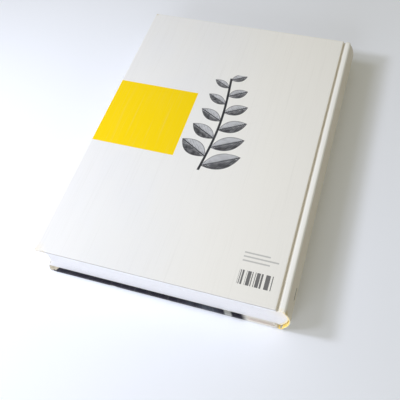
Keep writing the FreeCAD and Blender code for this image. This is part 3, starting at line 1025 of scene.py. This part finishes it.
@dataclass
class CoverBoard:
    """One cover: its board, the covering wrapped round it, the pastedown and the cloth flap."""

    side: Side
    laminate: PrintedLaminate
    board: GreyBoard
    sheet_thick: float = SHEET_THICK
    edge: float = 0.45
    corner: float = 1.3
    bruise_reach: float = 9.0
    bare_across: float = 9.4
    bare_along: float = 9.5
    blunt_reach: float = 4.0
    notch_at: float = 7.2
    notch_half: float = 1.1
    nick_at: float = 146.6
    nick_half: float = 0.7
    chip_at: float = 63.6
    chip_half: float = 1.5
    chip_deep: float = 0.8
    curl_reach: float = 3.0
    crush_depth: float = 3.2
    crush_along: float = 26.0
    crush_across: float = 14.0
    crumple_reach: float = 3.5
    board_layer: float = 0.42

    def build(self) -> None:
        """Makes and dresses every piece of this cover."""
        word = self.side.word
        self.covering()
        if self.side is Side.FRONT:
            self.bare_board()
        else:
            paler = GreyBoard(tan=(0.62, 0.57, 0.45), pale=(0.74, 0.69, 0.57), fleck=(0.50, 0.45, 0.36))
            dress("back_board", paler.material("grey_board_back"))
        dress(f"{word}_pastedown", Endpaper().material(Source.SOLID))
        flap = LiningCloth(thread=(0.86, 0.845, 0.80), glue=(0.80, 0.775, 0.705))
        dress(f"{word}_crash_flap", flap.material())

    def covering(self) -> None:
        """Wraps the printed sheet round the board."""
        finish = self.laminate.material(Field.BACK if self.side is Side.BACK else Field.FRONT)
        growth = 1.13 if self.side is Side.BACK else 1.08
        wrap = Wrap(0.0, BOARD_BACK, 0.0, HEIGHT, COVER, self.edge, self.corner, growth=growth)
        patch = wrap.lay(self.back_shape if self.side is Side.BACK else self.front_shape)
        if self.side is Side.FRONT:
            patch.tear(self.torn)
        inside = (BOARD_BACK / 2, HALF_HEIGHT, self.side.level(MIDDLE - COVER / 2))
        name = f"{self.side.word}_wrapped_covering"
        piece = patch.piece(name, finish, self.sheet_thick, inside=inside)
        fit(piece, self.side.body, "printed_covering", f"{self.side.word}_covering")

    def back_shape(self, across: float, along: float, depth: float) -> Point:
        """Where a place of the back cover ends up: a bruised corner, a notch beside it and a nick."""
        pull = fade(math.hypot(across, along), self.bruise_reach)
        ragged = grain(across, along, 1.4, depth)
        notch = dent(across, along, self.notch_at, self.notch_half, self.notch_half)
        nick = dent(across, along, self.nick_at, self.nick_half, self.nick_half)
        blunt = fade(math.hypot(across, HEIGHT - along), self.blunt_reach)
        swell = grain(across, along, 55.0) * 0.05
        moved_across = across - (0.9 + 0.4 * ragged) * pull + 0.8 * blunt
        moved_along = along - 0.2 * pull + 0.75 * notch + 0.55 * nick - 0.6 * blunt
        sink = (0.30 + 0.2 * ragged) * pull + 0.35 * notch + 0.25 * nick - swell + 0.05
        sink += 0.45 * ease(across, BOARD_BACK - 1.3, BOARD_BACK) ** 2
        if depth > COVER / 2:
            sink = -0.12 * pull
        return moved_across, moved_along, self.side.level(MIDDLE - depth - sink)

    def front_shape(self, across: float, along: float, depth: float) -> Point:
        """Where a place of the front cover ends up: a small chip in its lower tail edge."""
        chip = dent(across, along, self.chip_at, self.chip_half, self.chip_deep, 4)
        lift = 0.55 * chip * ease(depth, COVER * 0.7, 0.0)
        inward = 0.35 * chip * ease(depth, COVER * 0.6, 0.0)
        curl = fade(math.hypot(across - self.bare_across, along), self.curl_reach)
        across += self.crushed(across, along)
        return across, along + inward - 0.18 * curl, self.side.level(MIDDLE - depth - lift)

    def crushed(self, across: float, along: float) -> float:
        """How far the front cover's fore-edge is pushed in beside its bare corner."""
        return self.crush_depth * fade(along, self.crush_along) * fade(across, self.crush_across, 1)

    def torn(self, across: float, along: float) -> bool:
        """Whether the covering is gone from a place on the flat sheet."""
        jag = 0.10 * grain(across, along, 2.1, 3.0) + 0.07 * grain(across, along, 0.9, 5.0)
        bare = max(across / self.bare_across, along / self.bare_along) + jag < 1
        scrap = 6.6 < across < 8.5 and -2.5 < along < -0.5
        return bare and not scrap

    def bare_board(self) -> None:
        """Makes the front board, crushed and fluffed out where its covering is torn away."""
        low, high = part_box("front_board")
        wrap = Wrap(
            low.x / MM + HALF_WIDTH, high.x / MM + HALF_WIDTH,
            low.y / MM + HALF_HEIGHT, high.y / MM + HALF_HEIGHT, (high.z - low.z) / MM,
            edge=0.3, corner=0.9, growth=1.10, fine=0.3, coarse=6.0, layers=6, whole=True,
        )
        patch = wrap.lay(self.bare_shape)
        piece = patch.piece("front_bare_board", self.board.material("grey_board_front"), crease=50.0)
        fit(piece, self.side.body, "grey_board", "front_board")

    def bare_shape(self, across: float, along: float, depth: float) -> Point:
        """Where a place of the front board ends up: its corner is crushed and its layers stand apart."""
        near_corner = fade(math.hypot(across / self.bare_across, along / self.bare_along), 1.0, 0.6)
        layer = grain(round(depth / self.board_layer) * 3.7, across / 2 + along / 2, 1.0, 2.0)
        rough = grain(across, along, 0.8, depth)
        out = (0.30 * layer + 0.22 * rough) * near_corner
        round_off = fade(math.hypot(across, along), self.crumple_reach)
        edge_side = 1.0 if along < 1.0 else 0.0
        fore_side = 1.0 if across < 1.0 else 0.0
        moved_across = across - out * fore_side + 0.9 * round_off + self.crushed(across, along)
        moved_along = along - out * edge_side + 0.5 * round_off
        lifted = 0.12 * near_corner * rough
        return moved_across, moved_along, self.side.level(MIDDLE - depth - 0.25 + lifted)


@dataclass
class CaseSpine:
    """The spine of the case: the covering over its card, its two ridges and the strips in the joints."""

    laminate: PrintedLaminate
    centre: float = BACK_CENTRE
    radius: float = 24.525
    sheet_thick: float = SHEET_THICK
    fold_round: float = 0.45
    ridge_fold: float = 0.55
    spine_fold: float = 1.30
    turn_in: float = 15.0
    arc_steps: int = 30

    def build(self) -> None:
        """Makes and dresses every piece of the spine."""
        self.covering(self.laminate.material(Field.SPINE))
        self.strips(self.laminate.material(Field.JOINT))
        dress("spine_inlay", GreyBoard(tan=(0.42, 0.38, 0.30)).material("spine_card"))

    def ridge(self) -> list[tuple[float, float]]:
        """The outline of one ridge, from its foot in the joint to where the spine curve starts."""
        return [(203.35, 15.95), (203.60, 16.38), (204.0, 16.66), (204.6, 16.79), (205.4, 16.87),
                (206.3, 16.92), (207.1, 16.92), (207.75, 16.76), (208.22, 16.36), (208.52, 15.68),
                (208.72, 14.86)]

    def outline(self) -> list[tuple[float, float]]:
        """The covering's outline, from the back ridge round the spine to the front ridge."""
        ridge = self.ridge()
        turn = math.radians(33.2)
        arc = []
        for step in range(self.arc_steps + 1):
            angle = turn - 2 * turn * step / self.arc_steps
            arc.append((self.centre + self.radius * math.cos(angle), self.radius * math.sin(angle)))
        return ridge + arc + [(across, -half) for across, half in reversed(ridge)]

    def stations(self) -> list[tuple[float, float, float]]:
        """Each row along the book: its measure, its share of the fold's depth, its place on the sheet."""
        turned = []
        for inward in (self.turn_in, 9.0, 5.0, 3.0, 1.6, 0.9):
            turned.append((inward, 1.0, -inward - 0.6))
        for angle in (180, 155, 130, 110, 90, 70, 50, 25, 0):
            turn = math.radians(angle)
            inward = self.fold_round * (1 - math.sin(turn))
            turned.append((inward, (1 - math.cos(turn)) / 2, self.fold_round - 1.5 * angle / 180))
        outer = [(self.fold_round + place, 0.0, self.fold_round + place)
                 for place in steps(HEIGHT - 2 * self.fold_round, 0.5, 1.25, 5.0)[1:-1]]
        other = [(HEIGHT - inward, share, HEIGHT - sheet) for inward, share, sheet in reversed(turned)]
        return turned + outer + other

    def sweep(self, outline: list[tuple[float, float]], fold: Callable[[float], float],
              side: int = 1) -> Patch:
        """Runs an outline along the whole book and folds it in at both ends.

        Args:
            outline: Measures across, and from mid-height, of the sheet's outer face.
            fold: The depth of the fold at a measure across.
            side: 1 for the outline as it is, or -1 for its mirror image below mid-height.

        Returns:
            The patch of points and faces.
        """
        travelled = [0.0]
        for first, second in zip(outline, outline[1:]):
            travelled.append(travelled[-1] + math.dist(first, second))
        normals = []
        for index in range(len(outline)):
            first = outline[max(index - 1, 0)]
            second = outline[min(index + 1, len(outline) - 1)]
            run = Vector((second[0] - first[0], second[1] - first[1])).normalized()
            normals.append(Vector((-run.y, run.x)))
        patch = Patch()
        rows = []
        for along, share, flat in self.stations():
            row = []
            for (across, half), normal, run in zip(outline, normals, travelled):
                end = min(along, HEIGHT - along)
                worn = 0.28 * math.exp(-(end / 2.2) ** 2) * ease(abs(half), 12.0, 15.5)
                uneven = 0.045 * grain(run, along, 14.0, 1.0) + 0.03 * grain(run, along, 3.0, 4.0)
                deep = fold(across) * share + worn + max(0.0, 0.04 + uneven) * (1 - share)
                place = (across - normal.x * deep, along, MIDDLE + side * (half - normal.y * deep))
                row.append(patch.point(place, (run, flat)))
            rows.append(row)
        patch.web(rows)
        return patch

    def covering(self, finish: bpy.types.Material) -> None:
        """Makes the covering from ridge to ridge, folded in over the card at both ends."""
        patch = self.sweep(self.outline(), self.fold_depth)
        inside = (150.0, HALF_HEIGHT, MIDDLE)
        piece = patch.piece("spine_wrapped_covering", finish, self.sheet_thick, inside=inside)
        fit(piece, "book_block", "printed_covering", "spine_covering")

    def fold_depth(self, across: float) -> float:
        """The fold's depth: thin at the ridges, and round the card on the spine."""
        return self.ridge_fold + (self.spine_fold - self.ridge_fold) * ease(across, 205.6, 208.2)

    def joint_outline(self) -> list[tuple[float, float]]:
        """The outline of the strip in one joint, from the board's edge down and up under the ridge."""
        return [(BOARD_BACK + 0.06, 16.0), (201.75, 15.62), (201.84, 15.30), (202.02, 15.12),
                (202.28, 15.08), (202.56, 15.16), (202.84, 15.32), (203.10, 15.58), (203.34, 15.90),
                (203.62, 16.28), (204.02, 16.58), (204.60, 16.73)]

    def strips(self, finish: bpy.types.Material) -> None:
        """Makes the strip of covering in each joint, from the board's edge down into the groove and up under
        the ridge.
        """
        for side in Side:
            patch = self.sweep(self.joint_outline(), lambda across: self.ridge_fold - 0.07, side.value)
            inside = (202.6, HALF_HEIGHT, MIDDLE)
            piece = patch.piece(f"{side.word}_joint_strip", finish, self.sheet_thick, inside=inside)
            start = set_down((203.35, HALF_HEIGHT, side.level(15.5)))
            end = set_down((BOARD_BACK + 0.1, HALF_HEIGHT, side.level(15.5)))
            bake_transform(piece)
            REPORT.info("%s: %d faces across the joint", piece.name, len(piece.data.polygons))


@dataclass
class LeafBlock:
    """The sewn leaves with their endpapers and the cloth on their back."""

    count: int = 184
    section: int = 8
    inset: float = LEAF_INSET
    half_thick: float = 13.7
    shoulder_half: float = 15.5
    flare: float = 201.7
    shoulder: float = 205.0
    centre: float = BACK_CENTRE
    back_radius: float = 22.475
    hollow: float = 4.5
    air: float = 0.05
    hinge_thick: float = 0.14
    section_stray: float = 0.07
    leaf_stray: float = 0.03
    fore_stray: float = 0.06
    section_sunk: float = 0.04

    def build(self) -> None:
        """Makes and dresses the leaves, endpapers and lining."""
        self.leaves()
        paper = Endpaper()
        for side in Side:
            dress(f"{side.word}_flyleaf", paper.material(Source.SOLID))
            self.hinge(side, paper.material(Source.SHEET))
        dress("spine_lining", LiningCloth().material())

    def half_at(self, across: float) -> float:
        """Half of the block's thickness at a measure across."""
        share = min(1.0, max(0.0, (across - self.flare) / (self.shoulder - self.flare)))
        return self.half_thick + (self.shoulder_half - self.half_thick) * share

    def fore_edge(self, level: float) -> float:
        """Where a leaf of this level, from -1 to 1, ends at the hollow fore-edge."""
        radius = (self.half_thick ** 2 + self.hollow ** 2) / (2 * self.hollow)
        half = self.half_thick * level
        return self.inset + self.hollow - radius + math.sqrt(radius ** 2 - half ** 2)

    def back(self, level: float) -> float:
        """Where a leaf of this level ends at the rounded back."""
        return self.centre + math.sqrt(self.back_radius ** 2 - (self.shoulder_half * level) ** 2)

    def leaves(self) -> None:
        """Makes every leaf as its own thin solid, in sections that stand a little apart."""
        patch = Patch()
        pitch = 2 / self.count
        for number in range(self.count):
            low = -1 + pitch * number
            high = low + pitch * (1 - self.air)
            section = number // self.section
            stray = self.section_stray * (1 + grain(section * 3.1, 0.0, 1.0, 7.0))
            stray += self.leaf_stray * (1 + grain(number * 1.7, 5.0, 1.0))
            other = self.section_stray * (1 + grain(section * 2.3, 9.0, 1.0, 2.0))
            other += self.leaf_stray * (1 + grain(number * 2.9, 1.0, 1.0))
            front = self.fore_edge(low + pitch / 2) + self.fore_stray * (1 + grain(number * 1.3, 3.0, 1.0))
            back = self.back(low + pitch / 2) - self.section_sunk * (number % self.section == 0)
            self.leaf(patch, (low, high), (front, back), (self.inset + stray, HEIGHT - self.inset - other))
        piece = patch.piece("leaves", LeafEdges().material(), crease=30.0)
        fit(piece, "book_block", "leaves", "text_block")

    def leaf(self, patch: Patch, levels: tuple[float, float], reach: tuple[float, float],
             ends: tuple[float, float]) -> None:
        """Adds one leaf to the block.

        Args:
            patch: The patch of points and faces.
            levels: The leaf's lower and upper face, from -1 at the front to 1 at the back of the block.
            reach: Its ends at the fore-edge and at the back.
            ends: Its ends at the tail and at the head.
        """
        places = [reach[0], reach[0] + 6.0, 60.0, 120.0, 175.0, 196.0, self.flare]
        places += [202.5, 203.3, 204.1, self.shoulder]
        places = [place for place in places if place < reach[1] - 0.3] + [reach[1]]
        rows = []
        for along in ends:
            for level in levels:
                row = []
                for across in places:
                    up = MIDDLE + level * self.half_at(across)
                    row.append(patch.point((across, along, up), (across, along)))
                rows.append(row)
        tail_low, tail_high, head_low, head_high = rows
        patch.strip(tail_high, head_high)
        patch.strip(tail_low, head_low)
        patch.strip(tail_low, tail_high)
        patch.strip(head_low, head_high)
        for index in (0, -1):
            patch.faces.append((tail_low[index], tail_high[index], head_high[index], head_low[index]))

    def hinge(self, side: Side, finish: bpy.types.Material) -> None:
        """Makes the strip of endpaper that bends from the block's shoulder to the board.

        Args:
            side: The cover that it leads to.
            finish: The endpaper's finish.
        """
        outline = [(205.05, 15.64), (204.4, 15.36), (203.7, 14.98), (203.0, 14.60), (202.3, 14.22),
                   (201.8, 14.04), (201.3, 13.98)]
        patch = Patch()
        rows = []
        travelled = 0.0
        for index, (across, half) in enumerate(outline):
            if index:
                travelled += math.dist(outline[index - 1], (across, half))
            row = []
            for along in steps(HEIGHT - 2 * self.inset, 1.0, 1.4, 8.0):
                wave = 0.012 * grain(along, travelled, 9.0)
                place = (across, self.inset + along, side.level(half + wave))
                row.append(patch.point(place, (travelled, self.inset + along)))
            rows.append(row)
        patch.web(rows)
        inside = (203.0, HALF_HEIGHT, side.level(10.0))
        piece = patch.piece(f"{side.word}_endpaper_hinge", finish, self.hinge_thick, inside=inside)
        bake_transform(piece)
        REPORT.info("%s: %d faces across the joint", piece.name, len(piece.data.polygons))


@dataclass
class SewnBand:
    """The band sewn at one end of the leaves: a bead of wound thread and its tape."""

    end: End
    centre: float = BACK_CENTRE
    outer: float = 22.875
    bead_wide: float = 1.7
    bead_rise: float = 0.7
    bead_sunk: float = 0.35
    tape: float = 0.4
    half_turn: float = 40.0
    leaf_inset: float = LEAF_INSET
    tape_long: float = 12.0
    tape_steps: int = 24
    bead_corners: int = 12
    turn_steps: int = 6
    pitch: float = THREAD_PITCH

    def build(self) -> None:
        """Makes and dresses the band."""
        patch = Patch()
        self.bead(patch)
        self.strap(patch)
        piece = patch.piece(f"{self.end.word}_sewn_band", SewnThread().material(), crease=60.0)
        fit(piece, "book_block", "bands", f"{self.end.word}_band")

    def on_back(self, away: float, inward: float, turn: float) -> Point:
        """The place this far from the back's centre, in from the end, and round by this angle."""
        across = self.centre + away * math.cos(turn)
        return across, self.end.place(inward), MIDDLE + away * math.sin(turn)

    def bead(self, patch: Patch) -> None:
        """Adds the bead, ribbed by its turns of thread."""
        radius = self.outer - self.bead_wide / 2
        long = math.radians(2 * self.half_turn) * radius
        count = round(long / self.pitch) * self.turn_steps
        rings = []
        for step in range(count + 1):
            run = long * step / count
            turn = math.radians(self.half_turn) - run / radius
            rib = 0.86 + 0.14 * abs(math.sin(math.pi * run / self.pitch))
            tip = min(1.0, 0.35 + min(step, count - step) / 5)
            ring = []
            for corner in range(self.bead_corners):
                angle = math.tau * corner / self.bead_corners
                rise = self.bead_rise if math.sin(angle) > 0 else self.bead_sunk
                away = radius + self.bead_wide / 2 * rib * tip * math.cos(angle)
                inward = self.leaf_inset - rise * rib * tip * math.sin(angle)
                ring.append(patch.point(self.on_back(away, inward, turn), (run, corner * 0.4)))
            rings.append(ring)
        patch.web(rings, closed=True)
        patch.faces.append(tuple(rings[0]))
        patch.faces.append(tuple(rings[-1]))

    def strap(self, patch: Patch) -> None:
        """Adds the tape, glued to the back of the leaves under the bead."""
        near, far = self.leaf_inset, self.leaf_inset + self.tape_long
        under = self.outer - self.tape
        rows = []
        for step in range(self.tape_steps + 1):
            turn = math.radians(self.half_turn * (1 - 2 * step / self.tape_steps))
            row = []
            for away, inward in ((self.outer, near), (self.outer, far), (under, far), (under, near)):
                row.append(patch.point(self.on_back(away, inward, turn), (step * 1.3, inward)))
            rows.append(row)
        patch.web(rows, closed=True)
        patch.faces.append(tuple(rows[0]))
        patch.faces.append(tuple(rows[-1]))


@dataclass
class Studio:
    """The pale floor, a soft window lamp with its fills, and the camera."""

    floor_colour: Colour = (0.935, 0.950, 0.985)
    floor_drop: float = 0.2
    floor_reach: float = 3.0
    window_place: Point = (-0.40, -0.17, 0.44)
    window_size: float = 0.11
    window_power: float = 1.90
    window_colour: Colour = (0.89, 0.94, 1.12)
    broad_place: Point = (-0.15, -1.30, 0.42)
    broad_size: float = 0.9
    broad_power: float = 8.2
    broad_colour: Colour = (0.90, 0.96, 1.12)
    far_power: float = 0.52
    far_spread: float = 12.0
    fill: Colour = (0.338, 0.326, 0.258)
    backdrop: Colour = (0.90, 0.93, 0.96)
    eye: Point = (0.12023, -0.33494, 0.45086)
    ahead: Point = (-0.21690, 0.52269, -0.82447)
    rightward: Point = (0.95391, 0.29290, -0.06526)
    lens: float = 53.74

    def build(self) -> None:
        """Sets up the floor, the light and the camera."""
        self.floor()
        self.light()
        self.camera()

    def floor(self) -> None:
        """Lays a wide, smooth floor, a hair low, so that a cover opened down to its level still shows."""
        bench = Bench("studio_floor", Source.SOLID)
        tone = bench.cloud((420.0, 420.0, 420.0), 2.0)
        softer = tuple(part * 0.975 for part in self.floor_colour)
        colour = bench.tint(tone, self.floor_colour, softer)
        finish = bench.finished(colour, (0.75, 0.9), tone, bench.cloud((1.2, 1.2, 1.2), 2.0, 3.0), 0.01)
        mesh = bpy.data.meshes.new("studio_floor")
        reach = self.floor_reach
        drop = -self.floor_drop * MM
        rim = [(-reach, -reach, drop), (reach, -reach, drop), (reach, reach, drop), (-reach, reach, drop)]
        mesh.from_pydata(rim, [], [(0, 1, 2, 3)])
        mesh.materials.append(finish)
        floor = bpy.data.objects.new("studio_floor", mesh)
        bpy.context.scene.collection.objects.link(floor)

    def light(self) -> None:
        """Hangs a window lamp to the left, a broad one before the tail, a weak far one and an even fill."""
        window = self.hang("window_lamp", "AREA", self.window_place, self.window_power, self.window_colour)
        broad = self.hang("broad_lamp", "AREA", self.broad_place, self.broad_power, self.broad_colour)
        for lamp, size in ((window, self.window_size), (broad, self.broad_size)):
            lamp.shape = "DISK"
            lamp.size = size
        far = self.hang("far_lamp", "SUN", self.window_place, self.far_power, self.window_colour)
        far.angle = math.radians(self.far_spread)
        world = bpy.data.worlds.new("studio_fill")
        world.use_nodes = True
        tree = world.node_tree
        background = tree.nodes["Background"]
        background.inputs["Color"].default_value = (*self.fill, 1.0)
        seen = tree.nodes.new("ShaderNodeBackground")
        seen.inputs["Color"].default_value = (*self.backdrop, 1.0)
        path = tree.nodes.new("ShaderNodeLightPath")
        mix = tree.nodes.new("ShaderNodeMixShader")
        tree.links.new(path.outputs["Is Camera Ray"], mix.inputs["Fac"])
        tree.links.new(background.outputs[0], mix.inputs[1])
        tree.links.new(seen.outputs[0], mix.inputs[2])
        tree.links.new(mix.outputs[0], tree.nodes["World Output"].inputs["Surface"])
        bpy.context.scene.world = world
        bpy.context.scene.view_settings.view_transform = "Standard"

    def hang(self, name: str, kind: str, place: Point, power: float, colour: Colour) -> bpy.types.Light:
        """Hangs one lamp that the camera doesn't see, turned towards the book.

        Args:
            name: The lamp's name.
            kind: Blender's word for its kind.
            place: Where it hangs, in m.
            power: How strong it is.
            colour: The colour of its light.

        Returns:
            The lamp's settings.
        """
        lamp = bpy.data.lights.new(name, kind)
        lamp.energy = power
        lamp.color = colour
        holder = bpy.data.objects.new(name, lamp)
        holder.location = place
        holder.rotation_euler = (-Vector(place)).to_track_quat("-Z", "Y").to_euler()
        holder.visible_camera = False
        bpy.context.scene.collection.objects.link(holder)
        return lamp

    def camera(self) -> None:
        """Sets the camera where the photograph was taken from."""
        lens = bpy.data.cameras.new("camera")
        lens.lens = self.lens
        lens.sensor_width = 36.0
        lens.sensor_fit = "HORIZONTAL"
        lens.clip_start = 0.01
        eye = bpy.data.objects.new("camera", lens)
        back = -Vector(self.ahead).normalized()
        right = Vector(self.rightward).normalized()
        up = back.cross(right)
        turn = Matrix((right, up, back)).transposed()
        eye.matrix_world = Matrix.Translation(Vector(self.eye)) @ turn.to_4x4()
        bpy.context.scene.collection.objects.link(eye)
        bpy.context.scene.camera = eye


def main() -> None:
    """Builds and dresses the book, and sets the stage."""
    logging.basicConfig(level=logging.INFO, format="%(message)s")
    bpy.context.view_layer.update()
    laminate = PrintedLaminate()
    board = GreyBoard()
    for side in Side:
        CoverBoard(side, laminate, board).build()
    CaseSpine(laminate).build()
    LeafBlock().build()
    for end in End:
        SewnBand(end).build()
    Studio().build()


if __name__ == "__main__":
    main()
